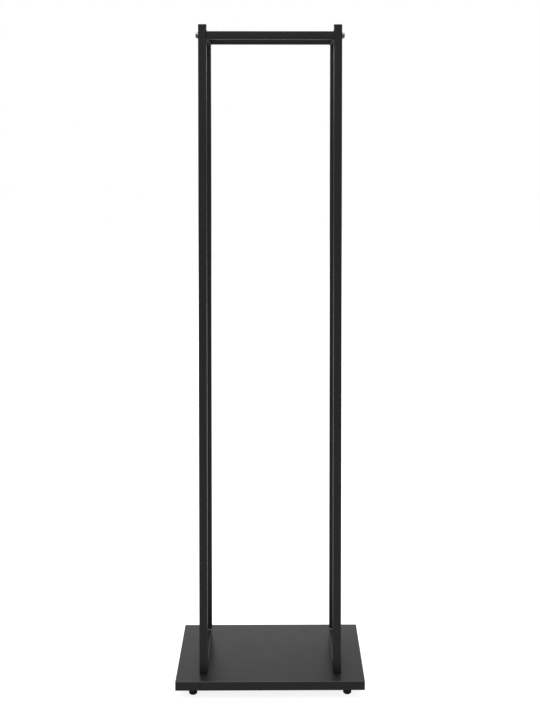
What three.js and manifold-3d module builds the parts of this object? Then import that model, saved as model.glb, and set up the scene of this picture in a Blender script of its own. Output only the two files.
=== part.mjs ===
// Standing coat rack: two welded side frames of square tube, joined near their tops by two bolted
// crossbars, on a folded sheet-steel base with four levelling feet.
// Millimetres, +Z up, front towards -Y. The origin is on the floor, under the middle of the base.

import * as THREE from "three";
import { mergeVertices } from "three/addons/utils/BufferGeometryUtils.js";
import Module from "manifold-3d";

// ---- Driving dimensions ----------------------------------------------------------------------

const GAP = 0.3; // between faces that touch on the real object

const TUBE = 20; // square tube, outside
const WALL = 1.5; // tube wall
const TUBE_CORNER = 1.5; // outside corner radius of the tube

const FRAME_WIDTH = 352; // over the outer faces of the side frames
const FRAME_DEPTH = 220; // over the front and rear posts
const POST_LENGTH = 1610; // base top to the top of a front post's cap
const CROSSBAR_DROP = 17; // top of a front post's cap down to the crossbars' top faces
const REAR_POST_DROP = 5; // top of a front post's cap down to the top of a rear post's cap

const SIDE_MARGIN = 57; // base edge to the side frame's outer face
const FRONT_MARGIN = 40; // base edge to the front posts
const REAR_MARGIN = 60; // base edge to the rear posts
const BASE_HEIGHT = 22; // folded base over its skirts
const SHEET = 2; // base and gusset sheet

const FOOT_HEIGHT = 23; // floor to the skirts' lower edge
const FOOT_INSET_X = 42; // base edge to the foot's axis, sideways
const FOOT_INSET_Y = 32; // base edge to the foot's axis, front and rear
const FOOT_RADIUS = 10.5;
const FOOT_PAD_HEIGHT = 15;
const FOOT_ROUND = 4.5; // round of the foot's lower edge
const FOOT_TOP_CHAMFER = 0.8;
const FOOT_SOCKET_DEPTH = 8; // stud's socket in the pad
const GUSSET_MARGIN = 15; // foot's axis to the gusset's free edges

const BOLT_RADIUS = 4; // M8
const BOLT_HOLE_CLEARANCE = 0.5; // radial, in plain holes
const BOLT_TIP_CHAMFER = 0.8;
const BUTTON_HEAD_RADIUS = 7;
const BUTTON_HEAD_HEIGHT = 4.4;
const BUTTON_RIM_HEIGHT = 0.9; // straight part of the head under its dome
const BUTTON_FLAT_RADIUS = 3.6; // flat top of the dome, round the socket
const SOCKET_ACROSS_FLATS = 5;
const SOCKET_DEPTH = 2.6;
const WASHER_RADIUS = 8;
const WASHER_THICKNESS = 1.6;
const NUT_ACROSS_FLATS = 13;
const NUT_HEIGHT = 6.5;
const STUD_ABOVE_NUT = 0.7;

const CROSSBAR_PLUG_LENGTH = 24; // threaded plug in the crossbar's end
const POST_NUT_HEIGHT = 12; // threaded block in the post's foot
const THREAD_ENGAGEMENT_IN_PLUG = 15;
const THREAD_ENGAGEMENT_IN_POST = 9;

const CAP_HEAD = 2; // end cap above the tube's cut end
const CAP_BEVEL = 0.6;
const CAP_INSERT_DEPTH = 12;

const ROUND_SEGMENTS = 20; // sides of a full circle
const CORNER_SEGMENTS = 3; // sides of a quarter round

// ---- Places that follow from them ------------------------------------------------------------

const BASE_WIDTH = FRAME_WIDTH + 2 * SIDE_MARGIN;
const BASE_DEPTH = FRONT_MARGIN + FRAME_DEPTH + REAR_MARGIN;
const BASE_FRONT = -BASE_DEPTH / 2;
const BASE_TOP = FOOT_HEIGHT + BASE_HEIGHT;
const POST_BOTTOM = BASE_TOP + GAP;
const FRONT_POST_TOP = BASE_TOP + POST_LENGTH;
const REAR_POST_TOP = FRONT_POST_TOP - REAR_POST_DROP;
const CROSSBAR_AXIS = FRONT_POST_TOP - CROSSBAR_DROP - TUBE / 2;
const POST_X = FRAME_WIDTH / 2 - TUBE / 2;
const FRONT_POST_Y = BASE_FRONT + FRONT_MARGIN + TUBE / 2;
const REAR_POST_Y = FRONT_POST_Y + FRAME_DEPTH - TUBE;
const TUBE_INSIDE = TUBE - 2 * WALL;
const INSERT_SIZE = TUBE_INSIDE - 2 * GAP; // what goes inside the tube
const FOOT_X = BASE_WIDTH / 2 - FOOT_INSET_X;
const FOOT_Y = BASE_DEPTH / 2 - FOOT_INSET_Y;

const SIDES = [
  { name: "left", sign: -1 },
  { name: "right", sign: 1 },
];
const ENDS = [
  { name: "front", sign: -1, postY: FRONT_POST_Y, postTop: FRONT_POST_TOP },
  { name: "rear", sign: 1, postY: REAR_POST_Y, postTop: REAR_POST_TOP },
];

// ---- Materials -------------------------------------------------------------------------------

const FINISHES = {
  powderCoat: { color: 0x1d1d1e, roughness: 0.42, metalness: 0.0 },
  zinc: { color: 0xb9bcc0, roughness: 0.3, metalness: 1.0 },
  plastic: { color: 0x151515, roughness: 0.55, metalness: 0.0 },
  rubber: { color: 0x1a1a1a, roughness: 0.75, metalness: 0.0 },
};

const group = new THREE.Group();
group.name = "standing_coat_rack";

// Adds one named piece with a material of its own; place moves and turns it.
function addPiece(name, finish, geometry, place = {}) {
  const material = new THREE.MeshStandardMaterial(FINISHES[finish]);
  const mesh = new THREE.Mesh(geometry, material);
  mesh.name = name;
  if (place.position) mesh.position.set(...place.position);
  if (place.rotation) mesh.rotation.set(...place.rotation);
  group.add(mesh);
  return mesh;
}

// ---- Joining and cutting ---------------------------------------------------------------------

const wasm = await Module();
wasm.setup();

function toSolid(geometry) {
  const bare = geometry.clone();
  bare.deleteAttribute("normal");
  bare.deleteAttribute("uv");
  const merged = mergeVertices(bare, 1e-4);
  const vertProperties = merged.attributes.position.array;
  const triVerts = new Uint32Array(merged.index.array);
  return new wasm.Manifold(new wasm.Mesh({ numProp: 3, vertProperties, triVerts }));
}

function toGeometry(solid) {
  const mesh = solid.getMesh();
  const positions = new Float32Array(mesh.vertProperties);
  const geometry = new THREE.BufferGeometry();
  geometry.setAttribute("position", new THREE.BufferAttribute(positions, 3));
  geometry.setIndex(new THREE.BufferAttribute(new Uint32Array(mesh.triVerts), 1));
  geometry.computeVertexNormals();
  return geometry;
}

function cut(geometry, ...tools) {
  const solid = tools.reduce((left, tool) => left.subtract(toSolid(tool)), toSolid(geometry));
  return toGeometry(solid);
}

function join(first, ...others) {
  const solid = others.reduce((sum, other) => sum.add(toSolid(other)), toSolid(first));
  return toGeometry(solid);
}

// ---- Basic shapes ----------------------------------------------------------------------------

// A square outline with round corners, centred on the origin.
function roundedSquare(size, radius) {
  const half = size / 2;
  const inner = half - radius;
  const shape = new THREE.Shape();
  shape.moveTo(inner, -half);
  shape.absarc(inner, -inner, radius, -Math.PI / 2, 0, false);
  shape.absarc(inner, inner, radius, 0, Math.PI / 2, false);
  shape.absarc(-inner, inner, radius, Math.PI / 2, Math.PI, false);
  shape.absarc(-inner, -inner, radius, Math.PI, 1.5 * Math.PI, false);
  return shape;
}

function square(size) {
  const half = size / 2;
  const corners = [
    [-half, -half],
    [half, -half],
    [half, half],
    [-half, half],
  ];
  return new THREE.Shape(corners.map(([x, y]) => new THREE.Vector2(x, y)));
}

function circle(radius) {
  const shape = new THREE.Shape();
  shape.absarc(0, 0, radius, 0, 2 * Math.PI, false);
  return shape;
}

function hexagon(acrossFlats) {
  const radius = acrossFlats / Math.sqrt(3);
  const corner = (i) => new THREE.Vector2(radius, 0).rotateAround(new THREE.Vector2(), (i * Math.PI) / 3);
  return new THREE.Shape([0, 1, 2, 3, 4, 5].map(corner));
}

// An outline drawn up the Z axis from z = 0.
function extrude(shape, height, curveSegments = CORNER_SEGMENTS) {
  return new THREE.ExtrudeGeometry(shape, { depth: height, bevelEnabled: false, curveSegments });
}

// A square tube up the Z axis from z = 0, open at both ends; its inside corners are sharp.
function squareTube(length) {
  const outside = extrude(roundedSquare(TUBE, TUBE_CORNER), length);
  const inside = extrude(square(TUBE_INSIDE), 3 * length).translate(0, 0, -length);
  return cut(outside, inside);
}

// A flat outline with a round hole, such as a washer or a nut.
function pierced(shape, holeRadius, height) {
  shape.holes.push(circle(holeRadius));
  return extrude(shape, height, ROUND_SEGMENTS / 2);
}

// A turned piece about the Z axis, from [radius, z] points that start and end on the axis.
function turned(points) {
  const profile = points.map(([radius, z]) => new THREE.Vector2(radius, z));
  return new THREE.LatheGeometry(profile, ROUND_SEGMENTS).rotateX(Math.PI / 2);
}

// Points of a quarter round about a centre, from one angle to another.
function arcPoints(centreRadius, centreZ, radius, from, to) {
  const points = [];
  for (let i = 0; i <= CORNER_SEGMENTS; i++) {
    const angle = from + ((to - from) * i) / CORNER_SEGMENTS;
    points.push([centreRadius + radius * Math.cos(angle), centreZ + radius * Math.sin(angle)]);
  }
  return points;
}

// A round cutting tool up the Z axis, from z = 0.
function drill(radius, length) {
  return new THREE.CylinderGeometry(radius, radius, length, ROUND_SEGMENTS)
    .rotateX(Math.PI / 2)
    .translate(0, 0, length / 2);
}

// ---- Fasteners -------------------------------------------------------------------------------

// Button-head socket bolt up the Z axis: its head's underside is at z = 0 and its shank points down.
function buttonBolt(shankLength) {
  const dome = [];
  for (let i = 0; i <= CORNER_SEGMENTS; i++) {
    const t = i / CORNER_SEGMENTS;
    const rise = Math.sin((t * Math.PI) / 2);
    const run = 1 - Math.cos((t * Math.PI) / 2);
    const radius = BUTTON_HEAD_RADIUS + (BUTTON_FLAT_RADIUS - BUTTON_HEAD_RADIUS) * run;
    dome.push([radius, BUTTON_RIM_HEIGHT + (BUTTON_HEAD_HEIGHT - BUTTON_RIM_HEIGHT) * rise]);
  }
  const body = turned([
    [0, -shankLength],
    [BOLT_RADIUS - BOLT_TIP_CHAMFER, -shankLength],
    [BOLT_RADIUS, BOLT_TIP_CHAMFER - shankLength],
    [BOLT_RADIUS, 0],
    [BUTTON_HEAD_RADIUS, 0],
    ...dome,
    [0, BUTTON_HEAD_HEIGHT],
  ]);
  const socket = extrude(hexagon(SOCKET_ACROSS_FLATS), 2 * SOCKET_DEPTH);
  return cut(body, socket.translate(0, 0, BUTTON_HEAD_HEIGHT - SOCKET_DEPTH));
}

function washer() {
  return pierced(circle(WASHER_RADIUS), BOLT_RADIUS + BOLT_HOLE_CLEARANCE, WASHER_THICKNESS);
}

function hexNut() {
  return pierced(hexagon(NUT_ACROSS_FLATS), BOLT_RADIUS + GAP, NUT_HEIGHT);
}

function plainHole(length) {
  return drill(BOLT_RADIUS + BOLT_HOLE_CLEARANCE, length);
}

// ---- Base ------------------------------------------------------------------------------------

// Folded sheet: a flat top with a skirt down each edge, open underneath, drilled for the post bolts.
function basePan() {
  const inside = BASE_HEIGHT - SHEET;
  const outer = new THREE.BoxGeometry(BASE_WIDTH, BASE_DEPTH, BASE_HEIGHT);
  outer.translate(0, 0, BASE_HEIGHT / 2);
  const hollow = new THREE.BoxGeometry(BASE_WIDTH - 2 * SHEET, BASE_DEPTH - 2 * SHEET, 2 * inside);
  const holes = SIDES.flatMap((side) =>
    ENDS.map((end) => plainHole(2 * BASE_HEIGHT).translate(side.sign * POST_X, end.postY, 0)),
  );
  return cut(outer, hollow, ...holes);
}

addPiece("base_pan", "powderCoat", basePan(), { position: [0, 0, FOOT_HEIGHT] });

// Corner plate inside the skirts, level with their lower edge, that carries a foot's nut.
function gusset(side, end) {
  const sizeX = FOOT_INSET_X + GUSSET_MARGIN - SHEET - GAP;
  const sizeY = FOOT_INSET_Y + GUSSET_MARGIN - SHEET - GAP;
  const centreX = side.sign * (BASE_WIDTH / 2 - SHEET - GAP - sizeX / 2);
  const centreY = end.sign * (BASE_DEPTH / 2 - SHEET - GAP - sizeY / 2);
  const plate = new THREE.BoxGeometry(sizeX, sizeY, SHEET).translate(centreX, centreY, SHEET / 2);
  const hole = plainHole(4 * SHEET).translate(side.sign * FOOT_X, end.sign * FOOT_Y, -2 * SHEET);
  return cut(plate, hole);
}

// ---- Levelling foot --------------------------------------------------------------------------

function footPad() {
  const socketRadius = BOLT_RADIUS + GAP;
  return turned([
    [0, 0],
    ...arcPoints(FOOT_RADIUS - FOOT_ROUND, FOOT_ROUND, FOOT_ROUND, -Math.PI / 2, 0),
    [FOOT_RADIUS, FOOT_PAD_HEIGHT - FOOT_TOP_CHAMFER],
    [FOOT_RADIUS - FOOT_TOP_CHAMFER, FOOT_PAD_HEIGHT],
    [socketRadius, FOOT_PAD_HEIGHT],
    [socketRadius, FOOT_PAD_HEIGHT - FOOT_SOCKET_DEPTH],
    [0, FOOT_PAD_HEIGHT - FOOT_SOCKET_DEPTH],
  ]);
}

const NUT_BOTTOM = FOOT_HEIGHT + SHEET + GAP;
const STUD_BOTTOM = FOOT_PAD_HEIGHT - FOOT_SOCKET_DEPTH + GAP;
const STUD_TOP = NUT_BOTTOM + NUT_HEIGHT + STUD_ABOVE_NUT;

function footStud() {
  const length = STUD_TOP - STUD_BOTTOM;
  return turned([
    [0, 0],
    [BOLT_RADIUS, 0],
    [BOLT_RADIUS, length - BOLT_TIP_CHAMFER],
    [BOLT_RADIUS - BOLT_TIP_CHAMFER, length],
    [0, length],
  ]);
}

for (const side of SIDES) {
  for (const end of ENDS) {
    const corner = `${end.name}_${side.name}`;
    const [x, y] = [side.sign * FOOT_X, end.sign * FOOT_Y];
    addPiece(`${corner}_foot_gusset`, "powderCoat", gusset(side, end), { position: [0, 0, FOOT_HEIGHT] });
    addPiece(`${corner}_foot_nut`, "zinc", hexNut(), { position: [x, y, NUT_BOTTOM] });
    addPiece(`${corner}_foot_pad`, "rubber", footPad(), { position: [x, y, 0] });
    addPiece(`${corner}_foot_stud`, "zinc", footStud(), { position: [x, y, STUD_BOTTOM] });
  }
}

// ---- Side frames -----------------------------------------------------------------------------

// Post with a hole right through it for the crossbar's bolt; its lower end is at z = 0, and it is
// cut off just under its cap's head.
function post(top) {
  const tube = squareTube(top - CAP_HEAD - GAP - POST_BOTTOM);
  const hole = plainHole(2 * TUBE).rotateY(Math.PI / 2);
  return cut(tube, hole.translate(-TUBE, 0, CROSSBAR_AXIS - POST_BOTTOM));
}

// Moulded cap: a bevelled head on the tube's cut end, over a square insert.
function endCap() {
  const head = new THREE.ExtrudeGeometry(roundedSquare(TUBE - 2 * CAP_BEVEL, TUBE_CORNER), {
    depth: CAP_HEAD - CAP_BEVEL,
    bevelEnabled: true,
    bevelThickness: CAP_BEVEL,
    bevelSize: CAP_BEVEL,
    bevelSegments: 2,
    curveSegments: CORNER_SEGMENTS,
  });
  const belowBase = new THREE.BoxGeometry(2 * TUBE, 2 * TUBE, TUBE).translate(0, 0, -TUBE / 2);
  const insert = extrude(square(INSERT_SIZE), CAP_INSERT_DEPTH + CAP_HEAD / 2);
  return join(cut(head, belowBase), insert.translate(0, 0, -CAP_INSERT_DEPTH));
}

// Threaded block that fills a tube's end, with its hole up the Z axis.
function threadedPlug(length) {
  return pierced(square(INSERT_SIZE), BOLT_RADIUS + GAP, length);
}

// Rail from the front post to the rear post, its axis at height z.
function addRail(name, side, z) {
  const length = REAR_POST_Y - FRONT_POST_Y - TUBE - 2 * GAP;
  addPiece(name, "powderCoat", squareTube(length), {
    position: [side.sign * POST_X, FRONT_POST_Y + TUBE / 2 + GAP, z],
    rotation: [-Math.PI / 2, 0, 0],
  });
}

// The bolt under the base: washer against the sheet, then the head, and the shank up into the post.
const BASE_WASHER_BOTTOM = BASE_TOP - SHEET - GAP - WASHER_THICKNESS;
const BASE_BOLT_SEAT = BASE_WASHER_BOTTOM - GAP;
const BASE_BOLT_LENGTH = POST_BOTTOM + THREAD_ENGAGEMENT_IN_POST - BASE_BOLT_SEAT;

for (const side of SIDES) {
  const x = side.sign * POST_X;
  for (const end of ENDS) {
    const name = `${end.name}_${side.name}`;
    addPiece(`${name}_post`, "powderCoat", post(end.postTop), { position: [x, end.postY, POST_BOTTOM] });
    addPiece(`${name}_post_cap`, "plastic", endCap(), {
      position: [x, end.postY, end.postTop - CAP_HEAD],
    });
    addPiece(`${name}_post_nut_block`, "zinc", threadedPlug(POST_NUT_HEIGHT), {
      position: [x, end.postY, POST_BOTTOM],
    });
    addPiece(`${name}_base_washer`, "zinc", washer(), { position: [x, end.postY, BASE_WASHER_BOTTOM] });
    addPiece(`${name}_base_bolt`, "zinc", buttonBolt(BASE_BOLT_LENGTH), {
      position: [x, end.postY, BASE_BOLT_SEAT],
      rotation: [Math.PI, 0, 0],
    });
  }
  addRail(`${side.name}_bottom_rail`, side, POST_BOTTOM + TUBE / 2);
  addRail(`${side.name}_top_rail`, side, CROSSBAR_AXIS);
}

// ---- Crossbars -------------------------------------------------------------------------------

const CROSSBAR_HALF = FRAME_WIDTH / 2 - TUBE - GAP; // half of its length
const CROSSBAR_WASHER_SEAT = FRAME_WIDTH / 2 + GAP;
const CROSSBAR_BOLT_SEAT = CROSSBAR_WASHER_SEAT + WASHER_THICKNESS + GAP;
const CROSSBAR_BOLT_LENGTH = CROSSBAR_BOLT_SEAT - CROSSBAR_HALF + THREAD_ENGAGEMENT_IN_PLUG;

for (const end of ENDS) {
  addPiece(`${end.name}_crossbar`, "powderCoat", squareTube(2 * CROSSBAR_HALF), {
    position: [-CROSSBAR_HALF, end.postY, CROSSBAR_AXIS],
    rotation: [0, Math.PI / 2, 0],
  });
  for (const side of SIDES) {
    const name = `${end.name}_${side.name}`;
    const outward = [0, (side.sign * Math.PI) / 2, 0]; // turns +Z to the frame's outside
    const at = (distance) => ({
      position: [side.sign * distance, end.postY, CROSSBAR_AXIS],
      rotation: outward,
    });
    addPiece(`${name}_crossbar_plug`, "zinc", threadedPlug(CROSSBAR_PLUG_LENGTH),
      at(CROSSBAR_HALF - CROSSBAR_PLUG_LENGTH));
    addPiece(`${name}_crossbar_washer`, "zinc", washer(), at(CROSSBAR_WASHER_SEAT));
    addPiece(`${name}_crossbar_bolt`, "zinc", buttonBolt(CROSSBAR_BOLT_LENGTH), at(CROSSBAR_BOLT_SEAT));
  }
}

export default group;
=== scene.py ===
"""Standing coat rack: satin black powder-coated square tube on a folded steel base.

Every shape is worked out with numpy inside the box of the CAD node that it stands for. Weld beads,
which have no node, are worked out from the pieces that they join. Lengths are metres.
"""
import math

import bmesh
import bpy
import numpy as np
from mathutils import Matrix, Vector


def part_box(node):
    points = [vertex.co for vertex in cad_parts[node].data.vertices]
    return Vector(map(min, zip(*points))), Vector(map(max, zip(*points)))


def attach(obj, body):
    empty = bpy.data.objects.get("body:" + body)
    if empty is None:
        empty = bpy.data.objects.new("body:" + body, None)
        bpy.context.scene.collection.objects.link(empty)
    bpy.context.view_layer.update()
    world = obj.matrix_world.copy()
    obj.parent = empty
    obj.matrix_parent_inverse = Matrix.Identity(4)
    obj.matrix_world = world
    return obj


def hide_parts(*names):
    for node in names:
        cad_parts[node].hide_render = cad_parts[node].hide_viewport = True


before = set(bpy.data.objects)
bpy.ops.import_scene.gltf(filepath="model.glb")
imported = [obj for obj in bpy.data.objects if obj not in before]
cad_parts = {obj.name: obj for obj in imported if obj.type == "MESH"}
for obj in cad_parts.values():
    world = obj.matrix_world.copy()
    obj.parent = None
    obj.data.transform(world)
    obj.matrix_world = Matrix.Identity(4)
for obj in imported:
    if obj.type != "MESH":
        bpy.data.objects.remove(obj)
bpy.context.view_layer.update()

MM = 0.001
X_AXIS, Y_AXIS, Z_AXIS = np.eye(3)
SIDES = {"left": -1, "right": 1}
ENDS = {"front": -1, "rear": 1}
CORNERS = [f"{end}_{side}" for end in ENDS for side in SIDES]
RACK = "rack"

# ---- Sizes that the CAD boxes don't give ----------------------------------------------------

TUBE_WALL = 1.5 * MM
TUBE_CORNER = 1.5 * MM
TUBE_INNER_CORNER = 0.6 * MM
TUBE_END_BREAK = 0.25 * MM  # deburred edge of a cut end
CORNER_STEPS = 6

SHEET = 2.0 * MM
BEND_RADIUS = 2.2 * MM  # outside radius of the base's folds
BASE_CORNER = 2.6 * MM  # ground corner where two skirts meet

ROUND_STEPS = 48
SHANK_RADIUS = 4.0 * MM
THREAD_PITCH = 1.25 * MM
THREAD_DEPTH = 0.34 * MM
HOLE_RADIUS = 4.3 * MM


def box_of(node):
    """Lowest corner, highest corner and middle of a CAD node."""
    low, high = (np.array(corner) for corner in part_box(node))
    return low, high, (low + high) / 2


# ---- Colours and nodes ----------------------------------------------------------------------


def linear(hex_colour):
    """An sRGB hex colour as the opaque linear colour that a shader takes."""
    values = [int(hex_colour[i : i + 2], 16) / 255 for i in (1, 3, 5)]
    return [v / 12.92 if v <= 0.04045 else ((v + 0.055) / 1.055) ** 2.4 for v in values] + [1.0]


def set_inputs(tree, node, inputs):
    """Gives each named socket of a node its value, or a link from another node's output."""
    for name, value in inputs.items():
        if isinstance(value, bpy.types.NodeSocket):
            tree.links.new(value, node.inputs[name])
        else:
            node.inputs[name].default_value = value


def add_node(tree, kind, inputs=None, **settings):
    """Adds a node with its settings, and sets or links its inputs."""
    node = tree.nodes.new(kind)
    for name, value in settings.items():
        setattr(node, name, value)
    set_inputs(tree, node, inputs or {})
    return node


def start_material(name):
    """An empty material with its Principled shader and the piece's own place in metres."""
    material = bpy.data.materials.new(name)
    material.use_nodes = True
    tree = material.node_tree
    tree.nodes.clear()
    output = add_node(tree, "ShaderNodeOutputMaterial")
    shader = add_node(tree, "ShaderNodeBsdfPrincipled")
    tree.links.new(shader.outputs["BSDF"], output.inputs["Surface"])
    place = add_node(tree, "ShaderNodeTexCoord").outputs["Object"]
    return material, tree, shader, place


# ---- Materials ------------------------------------------------------------------------------

# Sockets of the Mix node, which has one set for colours and one for single values. Math and Mix
# Shader nodes take theirs by number too, because they share a name.
FACTOR, FIRST, SECOND, MIXED = 0, 6, 7, 2
FIRST_VALUE, SECOND_VALUE, MIXED_VALUE = 2, 3, 0


def powder_coat():
    """Baked polyester powder coat on steel. It flows out to a satin black skin: faces seen at a low
    angle turn grey, and a shallow orange peel and cloudy gloss keep them from looking flat."""
    material, tree, shader, place = start_material("satin_black_powder_coat")
    cloud = add_node(tree, "ShaderNodeTexNoise", {"Vector": place, "Scale": 1 / (90 * MM)})
    colour = add_node(tree, "ShaderNodeMix", {
        FACTOR: cloud.outputs["Fac"], FIRST: linear("#161617"), SECOND: linear("#1c1c1d"),
    }, data_type="RGBA")
    smear = add_node(tree, "ShaderNodeTexNoise", {"Vector": place, "Scale": 1 / (30 * MM), "Detail": 4.0})
    gloss = add_node(tree, "ShaderNodeMapRange", {
        "Value": smear.outputs["Fac"], "From Min": 0.3, "From Max": 0.7, "To Min": 0.32, "To Max": 0.38,
    })
    # Real peel is 1 to 2 mm across, too fine to show, so it is drawn at 5 mm.
    peel = add_node(tree, "ShaderNodeTexNoise", {"Vector": place, "Scale": 1 / (5 * MM), "Detail": 1.0})
    waves = add_node(tree, "ShaderNodeBump", {
        "Height": peel.outputs["Fac"], "Distance": 0.05 * MM, "Strength": 0.5,
    })
    grit = add_node(tree, "ShaderNodeTexNoise", {"Vector": place, "Scale": 1 / (0.7 * MM), "Detail": 2.0})
    skin = add_node(tree, "ShaderNodeBump", {
        "Height": grit.outputs["Fac"], "Distance": 0.01 * MM, "Strength": 0.4,
        "Normal": waves.outputs["Normal"],
    })
    set_inputs(tree, shader, {
        "Base Color": colour.outputs[MIXED], "Roughness": gloss.outputs["Result"],
        "Normal": skin.outputs["Normal"], "IOR": 1.5, "Specular IOR Level": 0.36,
    })
    return material


def coat_over_weld():
    """The same powder coat where it runs thin over a weld bead: glossier, so the bead's ripples
    catch small bright glints, with fine pinholes and spatter under the skin."""
    material, tree, shader, place = start_material("powder_coat_over_weld")
    cloud = add_node(tree, "ShaderNodeTexNoise", {"Vector": place, "Scale": 1 / (4 * MM), "Detail": 3.0})
    colour = add_node(tree, "ShaderNodeMix", {
        FACTOR: cloud.outputs["Fac"], FIRST: linear("#161617"), SECOND: linear("#232324"),
    }, data_type="RGBA")
    gloss = add_node(tree, "ShaderNodeMapRange", {
        "Value": cloud.outputs["Fac"], "From Min": 0.3, "From Max": 0.7, "To Min": 0.05, "To Max": 0.14,
    })
    spatter = add_node(tree, "ShaderNodeTexNoise", {
        "Vector": place, "Scale": 1 / (1.5 * MM), "Detail": 2.0,
    })
    skin = add_node(tree, "ShaderNodeBump", {
        "Height": spatter.outputs["Fac"], "Distance": 0.2 * MM, "Strength": 0.3,
    })
    set_inputs(tree, shader, {
        "Base Color": colour.outputs[MIXED], "Roughness": gloss.outputs["Result"],
        "Normal": skin.outputs["Normal"], "IOR": 1.5, "Specular IOR Level": 1.0,
    })
    return material


def zinc_plate():
    """Electroplated zinc on steel: a grey metal sheen, faintly cloudy, with fine turning marks that
    soften its highlights."""
    material, tree, shader, place = start_material("grey_zinc_plate")
    cloud = add_node(tree, "ShaderNodeTexNoise", {"Vector": place, "Scale": 1 / (3 * MM), "Detail": 3.0})
    colour = add_node(tree, "ShaderNodeMix", {
        FACTOR: cloud.outputs["Fac"], FIRST: linear("#626568"), SECOND: linear("#868787"),
    }, data_type="RGBA")
    # Turning marks are about 0.1 mm apart, too fine to show, so they are drawn at 0.5 mm.
    grain = add_node(tree, "ShaderNodeTexNoise", {"Vector": place, "Scale": 1 / (0.5 * MM), "Detail": 3.0})
    gloss = add_node(tree, "ShaderNodeMapRange", {
        "Value": grain.outputs["Fac"], "From Min": 0.3, "From Max": 0.7, "To Min": 0.26, "To Max": 0.4,
    })
    marks = add_node(tree, "ShaderNodeBump", {
        "Height": grain.outputs["Fac"], "Distance": 0.01 * MM, "Strength": 0.5,
    })
    set_inputs(tree, shader, {
        "Base Color": colour.outputs[MIXED], "Roughness": gloss.outputs["Result"],
        "Normal": marks.outputs["Normal"], "Metallic": 1.0,
    })
    return material


def moulded_polyethylene():
    """Injection-moulded black polyethylene: duller than the coat beside it, with the fine grain of
    a spark-eroded mould."""
    material, tree, shader, place = start_material("moulded_black_polyethylene")
    cloud = add_node(tree, "ShaderNodeTexNoise", {"Vector": place, "Scale": 1 / (12 * MM)})
    colour = add_node(tree, "ShaderNodeMix", {
        FACTOR: cloud.outputs["Fac"], FIRST: linear("#161616"), SECOND: linear("#1b1b1b"),
    }, data_type="RGBA")
    grain = add_node(tree, "ShaderNodeTexNoise", {"Vector": place, "Scale": 1 / (0.6 * MM), "Detail": 2.0})
    gloss = add_node(tree, "ShaderNodeMapRange", {
        "Value": grain.outputs["Fac"], "From Min": 0.3, "From Max": 0.7, "To Min": 0.42, "To Max": 0.52,
    })
    skin = add_node(tree, "ShaderNodeBump", {
        "Height": grain.outputs["Fac"], "Distance": 0.03 * MM, "Strength": 0.6,
    })
    set_inputs(tree, shader, {
        "Base Color": colour.outputs[MIXED], "Roughness": gloss.outputs["Result"],
        "Normal": skin.outputs["Normal"], "IOR": 1.51, "Specular IOR Level": 0.4,
    })
    return material


def foot_rubber():
    """Hard black rubber, compression moulded: dull, with a little grey dust in its fine grain."""
    material, tree, shader, place = start_material("hard_black_rubber")
    dust = add_node(tree, "ShaderNodeTexNoise", {"Vector": place, "Scale": 1 / (6 * MM), "Detail": 4.0})
    colour = add_node(tree, "ShaderNodeMix", {
        FACTOR: dust.outputs["Fac"], FIRST: linear("#171717"), SECOND: linear("#222221"),
    }, data_type="RGBA")
    gloss = add_node(tree, "ShaderNodeMapRange", {
        "Value": dust.outputs["Fac"], "From Min": 0.3, "From Max": 0.7, "To Min": 0.55, "To Max": 0.7,
    })
    grain = add_node(tree, "ShaderNodeTexNoise", {"Vector": place, "Scale": 1 / (0.8 * MM), "Detail": 2.0})
    skin = add_node(tree, "ShaderNodeBump", {
        "Height": grain.outputs["Fac"], "Distance": 0.04 * MM, "Strength": 0.6,
    })
    set_inputs(tree, shader, {
        "Base Color": colour.outputs[MIXED], "Roughness": gloss.outputs["Result"],
        "Normal": skin.outputs["Normal"], "IOR": 1.52, "Specular IOR Level": 0.35,
    })
    return material


POWDER = powder_coat()
WELD = coat_over_weld()
ZINC = zinc_plate()
PLASTIC = moulded_polyethylene()
RUBBER = foot_rubber()

# ---- Surfaces -------------------------------------------------------------------------------


def grid_faces(rows, columns, ring):
    """Quads of a grid whose columns close on themselves. ring closes its rows too; else each end
    row gets one flat face."""
    index = np.arange(rows * columns).reshape(rows, columns)
    lower, upper = (index, np.roll(index, -1, axis=0)) if ring else (index[:-1], index[1:])
    quads = [lower, np.roll(lower, -1, axis=1), np.roll(upper, -1, axis=1), upper]
    faces = np.stack(quads, axis=-1).reshape(-1, 4).tolist()
    if not ring:
        faces += [index[0][::-1].tolist(), index[-1].tolist()]
    return faces


def make_piece(name, grids, material, body, nodes=(), ring=False, sharp_angle=38):
    """One piece from closed grids of points, facing outwards, riding on a body in place of nodes."""
    whole = bmesh.new()
    for grid in grids:
        rows, columns = grid.shape[:2]
        part = bpy.data.meshes.new(name)
        part.from_pydata(grid.reshape(-1, 3).tolist(), [], grid_faces(rows, columns, ring))
        shell = bmesh.new()
        shell.from_mesh(part)
        if shell.calc_volume(signed=True) < 0:
            bmesh.ops.reverse_faces(shell, faces=shell.faces)
        shell.to_mesh(part)
        shell.free()
        whole.from_mesh(part)
        bpy.data.meshes.remove(part)
    mesh = bpy.data.meshes.new(name)
    whole.to_mesh(mesh)
    whole.free()
    mesh.shade_smooth()
    mesh.set_sharp_from_angle(angle=math.radians(sharp_angle))
    mesh.materials.append(material)
    piece = bpy.data.objects.new(name, mesh)
    bpy.context.scene.collection.objects.link(piece)
    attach(piece, body)
    if nodes:
        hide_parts(*nodes)


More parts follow.
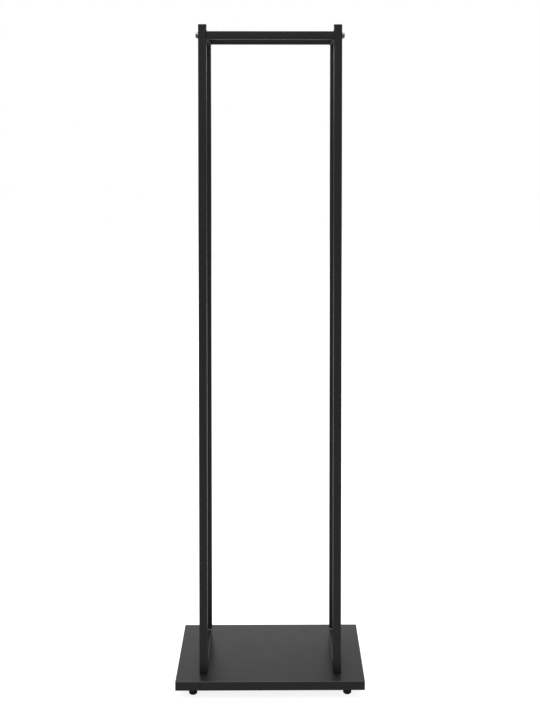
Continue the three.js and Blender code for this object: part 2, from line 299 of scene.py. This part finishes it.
def rounded_rectangle(width, depth, radius, steps=CORNER_STEPS):
    """Outline (4 × (steps + 1), 2): each corner's centre plus radius times the cosine and sine of
    an angle that runs through its quarter turn."""
    quarter = np.arange(4).repeat(steps + 1)
    angle = np.tile(np.linspace(0, math.pi / 2, steps + 1), 4) + quarter * math.pi / 2
    sign_u = np.array([1, -1, -1, 1])[quarter]
    sign_v = np.array([1, 1, -1, -1])[quarter]
    u = sign_u * (width / 2 - radius) + radius * np.cos(angle)
    v = sign_v * (depth / 2 - radius) + radius * np.sin(angle)
    return np.stack([u, v], axis=1)


def round_outline(radius, steps=ROUND_STEPS):
    """Outline of a circle: radius times the cosine and sine of an even turn."""
    angle = np.arange(steps) * 2 * math.pi / steps
    return radius * np.stack([np.cos(angle), np.sin(angle)], axis=1)


def hexagon_reach(across_flats, steps=ROUND_STEPS):
    """Distance from a hexagon's centre to its edge at each angle: half its width over the cosine
    of the angle from the nearest flat's middle."""
    angle = np.arange(steps) * 2 * math.pi / steps
    from_flat = np.mod(angle, math.pi / 3) - math.pi / 6
    return across_flats / 2 / np.cos(from_flat)


def stack(outlines, heights):
    """Rings (rows, columns, 3): each outline lifted to its height, a number or one for each point."""
    rows = []
    for outline, height in zip(outlines, heights):
        lift = np.broadcast_to(np.asarray(height, float), len(outline))
        rows.append(np.column_stack([outline, lift]))
    return np.stack(rows)


def stand(rings, foot, axis=Z_AXIS):
    """Turns rings from their own up direction to axis, and moves their origin to foot."""
    axis = np.asarray(axis, float)
    across = X_AXIS if abs(axis[2]) > 0.5 else Z_AXIS
    turn = np.stack([across, np.cross(axis, across), axis])
    return rings @ turn + np.asarray(foot, float)


def turned(profile, foot, axis=Z_AXIS, steps=ROUND_STEPS):
    """A turned surface: each (radius, height) of the profile carried round the axis."""
    profile = np.asarray(profile, float)
    return stand(stack([round_outline(r, steps) for r in profile[:, 0]], profile[:, 1]), foot, axis)


def quarter_round(centre_radius, centre_height, radius, start, stop, steps=6):
    """Points of an arc: its centre plus radius times the cosine and sine of start to stop degrees."""
    angle = np.radians(np.linspace(start, stop, steps + 1))
    return np.column_stack([centre_radius + radius * np.cos(angle), centre_height + radius * np.sin(angle)])


# ---- Square tube ----------------------------------------------------------------------------


def tube_surface(low, high, along):
    """Square tube: a rounded square carried along its axis outside, round the cut end, back along
    the inside as a smaller square, and round the other end, so that the wall is closed."""
    size = high - low
    length = size[along]
    side = np.delete(size, along).min()
    inside = side - 2 * TUBE_WALL
    broken = rounded_rectangle(side - 2 * TUBE_END_BREAK, side - 2 * TUBE_END_BREAK, TUBE_CORNER)
    outer = rounded_rectangle(side, side, TUBE_CORNER)
    inner = rounded_rectangle(inside, inside, TUBE_INNER_CORNER)
    outlines = [broken, outer, outer, broken, inner, inner]
    heights = [0, TUBE_END_BREAK, length - TUBE_END_BREAK, length, length, 0]
    foot = (low + high) / 2
    foot[along] = low[along]
    return stand(stack(outlines, heights), foot, np.eye(3)[along])


def make_tubes():
    tubes = {f"{corner}_post": 2 for corner in CORNERS}
    tubes.update({f"{end}_crossbar": 0 for end in ENDS})
    tubes.update({f"{side}_{level}_rail": 1 for side in SIDES for level in ("top", "bottom")})
    for node, along in tubes.items():
        low, high, _ = box_of(node)
        make_piece(f"{node}_tube", [tube_surface(low, high, along)], POWDER, RACK, [node], ring=True)


# ---- Welds ----------------------------------------------------------------------------------

BEAD_LEG = 4.0 * MM  # fillet on the open faces
BEAD_FLUSH = 0.4 * MM  # ground flush on the side faces
BEAD_UNDER_BASE_RAIL = 0.12 * MM  # no room above the base
RIPPLE = 1.7 * MM  # spacing of the weld's ripples
RIPPLE_DEPTH = 0.12  # share of the bead's radius
RIPPLE_LEAN = 1.2  # how far the ripples lean across the bead, in radians of a ripple
BEAD_TAPER = 1.5  # how soon the bead thins round a tube's corner
BEAD_FULLNESS = 1.25  # 1 is a flat-faced fillet, 2 a full round
BEAD_STEPS_ROUND = 12
BEAD_STEPS_ALONG = 288


def even_path(outline, steps):
    """The closed outline resampled at even distances, with the outward normal at each point."""
    closed = np.vstack([outline, outline[:1]])
    reach = np.concatenate([[0], np.cumsum(np.linalg.norm(np.diff(closed, axis=0), axis=1))])
    wanted = np.arange(steps) * reach[-1] / steps
    points = np.column_stack([np.interp(wanted, reach, closed[:, k]) for k in (0, 1)])
    tangent = np.roll(points, -1, axis=0) - np.roll(points, 1, axis=0)
    normal = np.column_stack([tangent[:, 1], -tangent[:, 0]])
    return points, normal / np.linalg.norm(normal, axis=1, keepdims=True), wanted


def weld_ring(side, joint, away, above, below):
    """A bead round a rail's end: path + r × (cos t × outward normal + sin t × away). r runs from
    the flush size on the side faces to above or below on the level ones, and ripples along. It
    is divided by (|cos t|^f + |sin t|^f)^(1/f), which flattens the bead's face for f under 2."""
    path, normal, reach = even_path(rounded_rectangle(side, side, TUBE_CORNER), BEAD_STEPS_ALONG)
    up = np.clip(normal[:, 0], 0, 1) ** BEAD_TAPER  # the outline's first direction is Z
    down = np.clip(-normal[:, 0], 0, 1) ** BEAD_TAPER
    radius = BEAD_FLUSH + (above - BEAD_FLUSH) * up + (below - BEAD_FLUSH) * down
    turn = np.arange(BEAD_STEPS_ROUND) * 2 * math.pi / BEAD_STEPS_ROUND
    phase = 2 * math.pi * (reach[None, :] / RIPPLE) + RIPPLE_LEAN * np.sin(turn)[:, None]
    radius = radius[None, :] * (1 + RIPPLE_DEPTH * np.sin(phase))
    spread = np.abs(np.cos(turn)) ** BEAD_FULLNESS + np.abs(np.sin(turn)) ** BEAD_FULLNESS
    radius = radius / (spread ** (1 / BEAD_FULLNESS))[:, None]
    outward = (radius * np.cos(turn)[:, None])[..., None] * normal[None]
    along = (radius * np.sin(turn)[:, None])[..., None]
    return stand(np.concatenate([path[None] + outward, along], axis=2), joint, away)


def make_rail_welds():
    for side in SIDES:
        for level in ("top", "bottom"):
            low, high, middle = box_of(f"{side}_{level}_rail")
            below = BEAD_LEG if level == "top" else BEAD_UNDER_BASE_RAIL
            for end, sign in ENDS.items():
                joint = middle.copy()
                joint[1] = low[1] if sign < 0 else high[1]
                ring = weld_ring(high[0] - low[0], joint, -sign * Y_AXIS, BEAD_LEG, below)
                make_piece(f"{side}_{level}_rail_{end}_weld", [ring], WELD, RACK, ring=True)


# ---- Base -----------------------------------------------------------------------------------

SHEET_EDGE = 0.2 * MM  # broken edge of the cut sheet
INNER_CORNER = 0.3 * MM  # least corner radius inside the skirts
GUSSET_EDGE = 0.3 * MM
GUSSET_CORNER = 3.0 * MM
TACK_LENGTH = 14.0 * MM
TACK_RADIUS = 1.3 * MM
TACK_RIPPLE_DEPTH = 0.06  # share of the tack's radius
TACK_PLACES = (0.3, 0.78)  # shares of the seam's length, from the plate's free end


def make_base():
    """Folded sheet: rounded rectangles from the top's flat, round the bend and down the skirt,
    under its edge and up the inside, a sheet's thickness in, to the underside of the top."""
    low, high, middle = box_of("base_pan")
    width, depth, height = high - low
    outer_bend = np.radians(np.linspace(90, 0, 7))
    inner_radius = BEND_RADIUS - SHEET
    inner_bend = np.radians(np.linspace(0, 90, 5))
    insets = np.concatenate([
        BEND_RADIUS * (1 - np.cos(outer_bend)),
        [0, SHEET_EDGE, SHEET - SHEET_EDGE, SHEET],
        SHEET + inner_radius * (1 - np.cos(inner_bend)),
    ])
    heights = np.concatenate([
        height - BEND_RADIUS * (1 - np.sin(outer_bend)),
        [SHEET_EDGE, 0, 0, SHEET_EDGE],
        height - SHEET - inner_radius * (1 - np.sin(inner_bend)),
    ])
    outlines = [
        rounded_rectangle(width - 2 * inset, depth - 2 * inset, max(BASE_CORNER - inset, INNER_CORNER))
        for inset in insets
    ]
    pan = stand(stack(outlines, heights), (middle[0], middle[1], low[2]))
    make_piece("base_folded_sheet", [pan], POWDER, RACK, ["base_pan"])


def tack_weld(centre, along):
    """A tack weld: a ball of TACK_RADIUS drawn out along the seam. Its rings shrink with the root
    of the cosine of an angle that runs from end to end, and swell in five ripples."""
    angle = np.radians(np.linspace(-88, 88, 25))
    reach = TACK_RADIUS * np.cos(angle) ** 0.5 * (1 + TACK_RIPPLE_DEPTH * np.cos(10 * angle))
    profile = np.column_stack([reach, TACK_LENGTH / 2 * np.sin(angle)])
    return turned(profile, centre, along, steps=16)


def make_gussets():
    """Corner plates that carry the feet: a rounded plate with its two edges broken, and tack welds
    along the two seams where it meets the skirts, flush with its underside."""
    for corner in CORNERS:
        end, side = corner.split("_")
        node = f"{corner}_foot_gusset"
        low, high, middle = box_of(node)
        width, depth, thickness = high - low
        outlines = [
            rounded_rectangle(width - 2 * inset, depth - 2 * inset, GUSSET_CORNER)
            for inset in (GUSSET_EDGE, 0, 0, GUSSET_EDGE)
        ]
        rings = stack(outlines, [0, GUSSET_EDGE, thickness - GUSSET_EDGE, thickness])
        plate = stand(rings, (middle[0], middle[1], low[2]))
        make_piece(f"{corner}_corner_gusset", [plate], POWDER, RACK, [node])
        seam_x, free_x = (low[0], high[0]) if SIDES[side] < 0 else (high[0], low[0])
        seam_y, free_y = (low[1], high[1]) if ENDS[end] < 0 else (high[1], low[1])
        level = low[2] + TACK_RADIUS / 2
        tacks = []
        for share in TACK_PLACES:
            tacks.append(tack_weld((seam_x, free_y + share * (seam_y - free_y), level), Y_AXIS))
            tacks.append(tack_weld((free_x + share * (seam_x - free_x), seam_y, level), X_AXIS))
        make_piece(f"{corner}_gusset_tack_welds", tacks, WELD, RACK)


# ---- Fasteners ------------------------------------------------------------------------------

SOCKET_ACROSS_FLATS = 5.0 * MM
SOCKET_DEPTH = 2.6 * MM
RIM_HEIGHT = 0.9 * MM
DOME_FLAT_RADIUS = 3.6 * MM
DOME_FULLNESS = 0.9  # 1 is a true ellipse
HEAD_HEIGHT = 4.4 * MM
HEAD_EDGE = 0.15 * MM  # broken edge under the rim
SHANK_FILLET = 0.3 * MM
SHANK_CHAMFER = 0.8 * MM
SOCKET_LIP = 0.2 * MM
SOCKET_FLOOR = 0.9  # the floor's width as a share of the socket's
WASHER_BORE = HOLE_RADIUS + 0.1 * MM
WASHER_EDGE = 0.2 * MM


def button_bolt(seat, outward, head_radius, head_height, shank_length):
    """Button-head bolt: shank, flat underside, rim and a dome that is nearly a quarter ellipse,
    then a hexagonal socket whose radius is the hexagon's reach at each angle."""
    shank = [
        (SHANK_RADIUS - SHANK_CHAMFER, -shank_length),
        (SHANK_RADIUS, SHANK_CHAMFER - shank_length),
        (SHANK_RADIUS, -SHANK_FILLET),
        (SHANK_RADIUS + SHANK_FILLET, 0),
        (head_radius - HEAD_EDGE, 0),
        (head_radius, HEAD_EDGE),
    ]
    turn = np.radians(np.linspace(0, 90, 11))
    run = head_radius - DOME_FLAT_RADIUS
    rise = head_height - RIM_HEIGHT
    dome = np.column_stack([
        DOME_FLAT_RADIUS + run * np.cos(turn) ** DOME_FULLNESS,
        RIM_HEIGHT + rise * np.sin(turn),
    ])
    outlines = [round_outline(radius) for radius, _ in [*shank, *dome]]
    heights = [height for _, height in [*shank, *dome]]
    unit = round_outline(1.0)
    reach = hexagon_reach(SOCKET_ACROSS_FLATS)[:, None]
    outlines += [unit * (reach + SOCKET_LIP), unit * reach, unit * reach, unit * reach * SOCKET_FLOOR]
    floor = head_height - SOCKET_DEPTH
    heights += [head_height, head_height - SOCKET_LIP, floor + SOCKET_LIP, floor]
    return stand(stack(outlines, heights), seat, outward)


def washer_surface(seat, outward, outer_radius, thickness):
    """Flat ring: a closed section with broken edges carried round the axis."""
    inner, outer = WASHER_BORE + WASHER_EDGE, outer_radius - WASHER_EDGE
    low, high = WASHER_EDGE, thickness - WASHER_EDGE
    section = [
        (WASHER_BORE, low), (WASHER_BORE, high), (inner, thickness), (outer, thickness),
        (outer_radius, high), (outer_radius, low), (outer, 0), (inner, 0),
    ]
    return turned(section, seat, outward)


def bolt_and_washer(corner, kind, outward):
    """Makes a bolt and its washer from their CAD boxes, with outward from the shank to the head."""
    along = int(np.argmax(np.abs(outward)))
    sign = outward[along]
    low, high, middle = box_of(f"{corner}_{kind}_bolt")
    radius = (high - low)[(along + 1) % 3] / 2
    head_top = high[along] if sign > 0 else low[along]
    seat = middle.copy()
    seat[along] = head_top - sign * HEAD_HEIGHT
    length = (high - low)[along] - HEAD_HEIGHT
    bolt = button_bolt(seat, outward, radius, HEAD_HEIGHT, length)
    make_piece(f"{corner}_{kind}_button_bolt", [bolt], ZINC, RACK, [f"{corner}_{kind}_bolt"])
    low, high, middle = box_of(f"{corner}_{kind}_washer")
    size = high - low
    seat = middle - outward * size[along] / 2
    flat = washer_surface(seat, outward, size[(along + 1) % 3] / 2, size[along])
    make_piece(f"{corner}_{kind}_flat_washer", [flat], ZINC, RACK, [f"{corner}_{kind}_washer"], ring=True)


def make_fasteners():
    for corner in CORNERS:
        side = SIDES[corner.split("_")[1]]
        bolt_and_washer(corner, "crossbar", side * X_AXIS)
        bolt_and_washer(corner, "base", -Z_AXIS)


# ---- Levelling feet -------------------------------------------------------------------------

NUT_COUNTERSINK = 0.5 * MM
NUT_FACE = 0.95  # the flat ring's width as a share of the nut's
NUT_CHAMFER = 30  # degrees
PAD_EDGE_ROUND = 4.5 * MM
PAD_TOP_ROUND = 1.0 * MM
PAD_SOCKET_DEPTH = 8.0 * MM
PAD_SOCKET_EDGE = 0.4 * MM
SOLE_GROOVE = 0.5 * MM  # depth
SOLE_GROOVE_RUN = (3.2 * MM, 2.6 * MM, 1.6 * MM, 1.0 * MM)  # in from the sole's edge
MOULD_LINE = 0.12 * MM  # how far it stands out
MOULD_LINE_RUN = (0.46, 0.47, 0.49, 0.5)  # shares of the pad's height
THREAD_ROWS = 8  # in each turn


def make_nut(corner):
    """Hexagon nut: bore, countersink, flat ring, then the hexagon, whose corners drop by the
    tangent of the chamfer times their reach past the flat ring."""
    node = f"{corner}_foot_nut"
    low, high, middle = box_of(node)
    across = (high - low)[:2].min()
    height = (high - low)[2]
    reach = hexagon_reach(across)
    unit = round_outline(1.0)
    face_radius = across / 2 * NUT_FACE
    hexagon = unit * reach[:, None]
    drop = (reach - face_radius) * math.tan(math.radians(NUT_CHAMFER))
    bore, mouth, face = (unit * r for r in (HOLE_RADIUS, HOLE_RADIUS + NUT_COUNTERSINK, face_radius))
    outlines = [bore, bore, mouth, face, hexagon, hexagon, face, mouth]
    heights = [NUT_COUNTERSINK, height - NUT_COUNTERSINK, height, height, height - drop, drop, 0, 0]
    rings = stand(stack(outlines, heights), (middle[0], middle[1], low[2]))
    make_piece(f"{corner}_weld_nut", [rings], ZINC, RACK, [node], ring=True)


def make_pad(corner):
    """Foot pad: a flat sole with a shallow ring groove, a quarter-round edge, a side with a fine
    mould line, a broken top edge, and a socket for the stud."""
    node = f"{corner}_foot_pad"
    low, high, middle = box_of(node)
    radius = (high - low)[0] / 2
    height = (high - low)[2]
    sole = radius - PAD_EDGE_ROUND
    body = radius - MOULD_LINE
    groove = zip(SOLE_GROOVE_RUN, (0, SOLE_GROOVE, SOLE_GROOVE, 0))
    line = zip((body, radius, radius, body), MOULD_LINE_RUN)
    profile = np.vstack([
        [(sole - inset, lift) for inset, lift in groove],
        quarter_round(body - PAD_EDGE_ROUND, PAD_EDGE_ROUND, PAD_EDGE_ROUND, -90, 0, steps=10),
        [(reach, share * height) for reach, share in line],
        quarter_round(body - PAD_TOP_ROUND, height - PAD_TOP_ROUND, PAD_TOP_ROUND, 0, 90),
        [(HOLE_RADIUS + PAD_SOCKET_EDGE, height), (HOLE_RADIUS, height - PAD_SOCKET_EDGE)],
        [(HOLE_RADIUS, height - PAD_SOCKET_DEPTH)],
    ])
    pad = turned(profile, (middle[0], middle[1], low[2]))
    make_piece(f"{corner}_foot_rubber", [pad], RUBBER, f"{corner}_foot", [node])


def make_stud(corner):
    """Threaded stud: r = mean radius + half the thread's depth × a triangle wave of height over
    pitch less angle over a full turn, faded out at both ends."""
    node = f"{corner}_foot_stud"
    low, high, middle = box_of(node)
    length = (high - low)[2]
    radius = (high - low)[0] / 2
    rows = int(length / THREAD_PITCH * THREAD_ROWS)
    height = np.linspace(0, length, rows)[:, None]
    angle = (np.arange(ROUND_STEPS) * 2 * math.pi / ROUND_STEPS)[None, :]
    turn = height / THREAD_PITCH - angle / (2 * math.pi)
    wave = 4 * np.abs(turn - np.floor(turn + 0.5)) - 1
    fade = np.clip(np.minimum(height, length - height) / THREAD_PITCH, 0, 1)
    reach = radius - THREAD_DEPTH + THREAD_DEPTH / 2 * (1 + wave) * fade
    x, y = reach * np.cos(angle), reach * np.sin(angle)
    rings = np.stack([x, y, np.broadcast_to(height, x.shape)], axis=2)
    stud = stand(rings, (middle[0], middle[1], low[2]))
    make_piece(f"{corner}_foot_thread", [stud], ZINC, f"{corner}_foot", [node], sharp_angle=25)


# ---- End caps -------------------------------------------------------------------------------

CAP_HEAD = 2.0 * MM
CAP_EDGE = 0.8 * MM  # round of the head's top edge
CAP_CROWN = 0.15 * MM
CAP_UNDERCUT = 0.3 * MM  # the head's lower edge, drawn in
CAP_PLAY = 0.6 * MM  # between the ribs and the tube, both sides together
CAP_NECK = 0.2 * MM  # straight core just under the head
CAP_RIBS = 4
CAP_RIB_DEPTH = 1.2 * MM
CAP_RIB_STEPS = (0.3 * MM, 1.3 * MM, 2.0 * MM, 2.6 * MM)  # core, core, rib, rib in each pitch
CAP_CORE_CORNER = 0.8 * MM
CAP_RIB_CORNER = 0.5 * MM
CAP_TIP_TAPER = 1.5 * MM
CAP_TIP_CORNER = 0.6 * MM
CAP_FLAT = 0.5  # the crown's flat as a share of the head's width
CAP_FLAT_CORNER = 2.0 * MM


def make_cap(corner):
    """Moulded end cap: a square insert with ribs that grip the tube, under a head whose top edge
    is a quarter round and whose top is a little crowned."""
    node = f"{corner}_post_cap"
    low, high, middle = box_of(node)
    side = (high - low)[0]
    height = (high - low)[2]
    neck = height - CAP_HEAD
    insert = side - 2 * TUBE_WALL - CAP_PLAY
    core = insert - 2 * CAP_RIB_DEPTH
    sizes, radii, heights = [core - CAP_TIP_TAPER], [CAP_TIP_CORNER], [0.0]
    for rib in range(CAP_RIBS):
        sizes += [core, core, insert, insert]
        radii += [CAP_CORE_CORNER, CAP_CORE_CORNER, CAP_RIB_CORNER, CAP_RIB_CORNER]
        heights += [rib * neck / CAP_RIBS + step for step in CAP_RIB_STEPS]
    sizes += [core, core]
    radii += [CAP_CORE_CORNER, CAP_CORE_CORNER]
    heights += [neck - CAP_NECK, neck]
    turn = np.radians(np.linspace(0, 90, 6))
    drawn_in = CAP_EDGE * (1 - np.cos(turn))
    sizes += [side - CAP_UNDERCUT, side, *(side - 2 * drawn_in), side * CAP_FLAT]
    radii += [TUBE_CORNER, TUBE_CORNER, *(TUBE_CORNER - drawn_in), CAP_FLAT_CORNER]
    edge = height - CAP_CROWN - CAP_EDGE + CAP_EDGE * np.sin(turn)
    heights += [neck, neck + CAP_UNDERCUT / 2, *edge, height]
    outlines = [rounded_rectangle(size, size, radius) for size, radius in zip(sizes, radii)]
    cap = stand(stack(outlines, heights), (middle[0], middle[1], low[2]))
    make_piece(f"{corner}_end_cap", [cap], PLASTIC, RACK, [node])


def dress_hidden_nodes():
    """The threaded blocks inside the tubes keep their CAD shape and get the fasteners' finish."""
    for corner in CORNERS:
        for node in (f"{corner}_crossbar_plug", f"{corner}_post_nut_block"):
            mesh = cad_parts[node].data
            mesh.materials.clear()
            mesh.materials.append(ZINC)


make_tubes()
make_rail_welds()
make_base()
make_gussets()
make_fasteners()
for corner_name in CORNERS:
    make_nut(corner_name)
    make_pad(corner_name)
    make_stud(corner_name)
    make_cap(corner_name)
dress_hidden_nodes()

# ---- Floor, light and camera ----------------------------------------------------------------

# Brightness is against 1 for white. Before is towards the camera and behind is beyond the rack.
FLOOR_RADIUS = 14.0
FLOOR_FADE_START = 6.0
FLOOR_FADE_STOP = 12.0
FLOOR_GLOW = 0.86  # what the camera sees of the floor even in shade, near the rack
FLOOR_GLOW_START = 1.0  # the glow rises to full white between these distances
FLOOR_GLOW_STOP = 4.0
FLOOR_LIGHT_BEHIND = 0.25  # light off the floor behind the rack, rising between these distances
FLOOR_LIGHT_START = 0.3
FLOOR_LIGHT_STOP = 1.6
LIGHT_BEFORE = 0.40
LIGHT_BEHIND = 0.52
LIGHT_ABOVE = 1.5  # straight overhead
BELOW_BEFORE = 0.36  # below the horizon, past the floor's edge
BELOW_BEHIND = 0.16
HORIZON_GAIN_LEFT = 2.6  # extra brightness just above the horizon
HORIZON_GAIN_RIGHT = 1.7
LEFT_GAIN = 1.2  # the left half is brighter than the right at every height
RIGHT_GAIN = 0.9


def make_floor():
    """Pale swept floor: a disc under the rack that fades into the backdrop with distance. It is
    overexposed as a studio floor is, and only a faint shadow shows on it."""
    disc = round_outline(FLOOR_RADIUS, 96)
    mesh = bpy.data.meshes.new("floor")
    points = np.column_stack([disc, np.zeros(len(disc))])
    mesh.from_pydata(points.tolist(), [], [list(range(len(disc)))])
    material, tree, shader, place = start_material("pale_studio_floor")
    set_inputs(tree, shader, {
        "Base Color": linear("#a6a6a5"), "Roughness": 0.9, "Specular IOR Level": 0.1,
    })
    seen = add_node(tree, "ShaderNodeLightPath").outputs["Is Camera Ray"]
    reach = add_node(tree, "ShaderNodeVectorMath", {0: place}, operation="LENGTH")
    white = add_node(tree, "ShaderNodeMapRange", {
        "Value": reach.outputs["Value"], "From Min": FLOOR_GLOW_START, "From Max": FLOOR_GLOW_STOP,
        "To Min": FLOOR_GLOW, "To Max": 1.0,
    })
    along = add_node(tree, "ShaderNodeSeparateXYZ", {"Vector": place})
    lit = add_node(tree, "ShaderNodeMapRange", {
        "Value": along.outputs["Y"], "From Min": FLOOR_LIGHT_START, "From Max": FLOOR_LIGHT_STOP,
        "To Min": 0.0, "To Max": FLOOR_LIGHT_BEHIND,
    })
    glow = add_node(tree, "ShaderNodeMix", {
        FACTOR: seen, FIRST_VALUE: lit.outputs["Result"], SECOND_VALUE: white.outputs["Result"],
    }, data_type="FLOAT")
    set_inputs(tree, shader, {
        "Emission Color": (1, 1, 1, 1), "Emission Strength": glow.outputs[MIXED_VALUE],
    })
    fade = add_node(tree, "ShaderNodeMapRange", {
        "Value": reach.outputs["Value"], "From Min": FLOOR_FADE_START, "From Max": FLOOR_FADE_STOP,
    })
    clear = add_node(tree, "ShaderNodeBsdfTransparent")
    mix = add_node(tree, "ShaderNodeMixShader", {
        0: fade.outputs["Result"], 1: shader.outputs["BSDF"], 2: clear.outputs["BSDF"],
    })
    output = next(node for node in tree.nodes if node.type == "OUTPUT_MATERIAL")
    set_inputs(tree, output, {"Surface": mix.outputs["Shader"]})
    mesh.materials.append(material)
    floor = bpy.data.objects.new("floor", mesh)
    bpy.context.scene.collection.objects.link(floor)


def make_backdrop_light():
    """White backdrop all round, with soft light that is brightest overhead and just above the
    horizon, brighter behind the rack than before it, and dim below the horizon. The parts of a
    direction run from -1 to 1, so Z is the sine of its height above the horizon."""
    world = bpy.data.worlds.new("studio")
    bpy.context.scene.world = world
    world.use_nodes = True
    tree = world.node_tree
    tree.nodes.clear()
    direction = add_node(tree, "ShaderNodeTexCoord")
    parts = add_node(tree, "ShaderNodeSeparateXYZ", {"Vector": direction.outputs["Generated"]})
    level = add_node(tree, "ShaderNodeMapRange", {
        "Value": parts.outputs["Y"], "From Min": -0.6, "From Max": 0.8,
        "To Min": LIGHT_BEFORE, "To Max": LIGHT_BEHIND,
    })
    below = add_node(tree, "ShaderNodeMapRange", {
        "Value": parts.outputs["Y"], "From Min": -0.3, "From Max": 0.3,
        "To Min": BELOW_BEFORE, "To Max": BELOW_BEHIND,
    })
    horizon_gain = add_node(tree, "ShaderNodeMapRange", {
        "Value": parts.outputs["X"], "From Min": -0.4, "From Max": 0.4,
        "To Min": HORIZON_GAIN_LEFT, "To Max": HORIZON_GAIN_RIGHT,
    })
    low_gain = add_node(tree, "ShaderNodeMapRange", {
        "Value": parts.outputs["Z"], "From Min": 0.05, "From Max": 0.25,
        "To Min": horizon_gain.outputs["Result"], "To Max": 1.0,
    })
    side_gain = add_node(tree, "ShaderNodeMapRange", {
        "Value": parts.outputs["X"], "From Min": -0.4, "From Max": 0.4,
        "To Min": LEFT_GAIN, "To Max": RIGHT_GAIN,
    })
    gain = add_node(tree, "ShaderNodeMath", {
        0: low_gain.outputs["Result"], 1: side_gain.outputs["Result"],
    }, operation="MULTIPLY")
    high = add_node(tree, "ShaderNodeMath", {
        0: level.outputs["Result"], 1: gain.outputs["Value"],
    }, operation="MULTIPLY")
    above = add_node(tree, "ShaderNodeMapRange", {
        "Value": parts.outputs["Z"], "From Min": 0.0, "From Max": 0.04,
    })
    around = add_node(tree, "ShaderNodeMix", {
        FACTOR: above.outputs["Result"], FIRST_VALUE: below.outputs["Result"],
        SECOND_VALUE: high.outputs["Value"],
    }, data_type="FLOAT")
    overhead = add_node(tree, "ShaderNodeMapRange", {
        "Value": parts.outputs["Z"], "From Min": 0.5, "From Max": 0.85,
    })
    strength = add_node(tree, "ShaderNodeMix", {
        FACTOR: overhead.outputs["Result"], FIRST_VALUE: around.outputs[MIXED_VALUE],
        SECOND_VALUE: LIGHT_ABOVE,
    }, data_type="FLOAT")
    lit = add_node(tree, "ShaderNodeBackground", {"Strength": strength.outputs[MIXED_VALUE]})
    seen = add_node(tree, "ShaderNodeBackground", {"Strength": 1.0})
    for background in (lit, seen):
        set_inputs(tree, background, {"Color": (1, 1, 1, 1)})
    path = add_node(tree, "ShaderNodeLightPath")
    mix = add_node(tree, "ShaderNodeMixShader", {
        0: path.outputs["Is Camera Ray"], 1: lit.outputs["Background"], 2: seen.outputs["Background"],
    })
    add_node(tree, "ShaderNodeOutputWorld", {"Surface": mix.outputs["Shader"]})


def aim(obj, target):
    """Turns an object so that its -Z looks at a point."""
    way = Vector(target) - obj.location
    obj.rotation_euler = way.to_track_quat("-Z", "Y").to_euler()


def add_softbox(name, place, target, size, power):
    """A square area light of a size in metres and a power in watts, aimed at a target."""
    light = bpy.data.lights.new(name, "AREA")
    light.shape = "SQUARE"
    light.size = size
    light.energy = power
    lamp = bpy.data.objects.new(name, light)
    lamp.location = place
    bpy.context.scene.collection.objects.link(lamp)
    aim(lamp, target)


def make_lights():
    """A broad overhead softbox, and a small strobe that picks glints out of the weld beads."""
    add_softbox("overhead_softbox", place=(0.1, 0.1, 3.6), target=(0, 0, 0), size=2.6, power=60)
    add_softbox("front_strobe", place=(-0.3, -1.2, 3.2), target=(0, 0, 0.1), size=0.14, power=9)


CAMERA_PLACE = (0.0145, -2.95, 1.431)
CAMERA_DOWN = 2.01  # degrees below the level
CAMERA_RIGHT = 0.49  # degrees from straight ahead
CAMERA_ROLL = 0.02  # degrees anticlockwise
LENS = 57.85  # mm
SENSOR = 36.0  # mm, the picture's taller side
SHIFT = (-0.0222, -0.2825)  # shares of the picture's height


def make_camera():
    data = bpy.data.cameras.new("camera")
    data.lens = LENS
    data.sensor_width = SENSOR
    data.shift_x, data.shift_y = SHIFT
    data.clip_start = 0.05
    camera = bpy.data.objects.new("camera", data)
    camera.location = CAMERA_PLACE
    turn = (90 - CAMERA_DOWN, -CAMERA_ROLL, -CAMERA_RIGHT)
    camera.rotation_euler = [math.radians(angle) for angle in turn]
    bpy.context.scene.collection.objects.link(camera)
    bpy.context.scene.camera = camera


make_floor()
make_backdrop_light()
make_lights()
make_camera()
bpy.context.scene.view_settings.view_transform = "Standard"
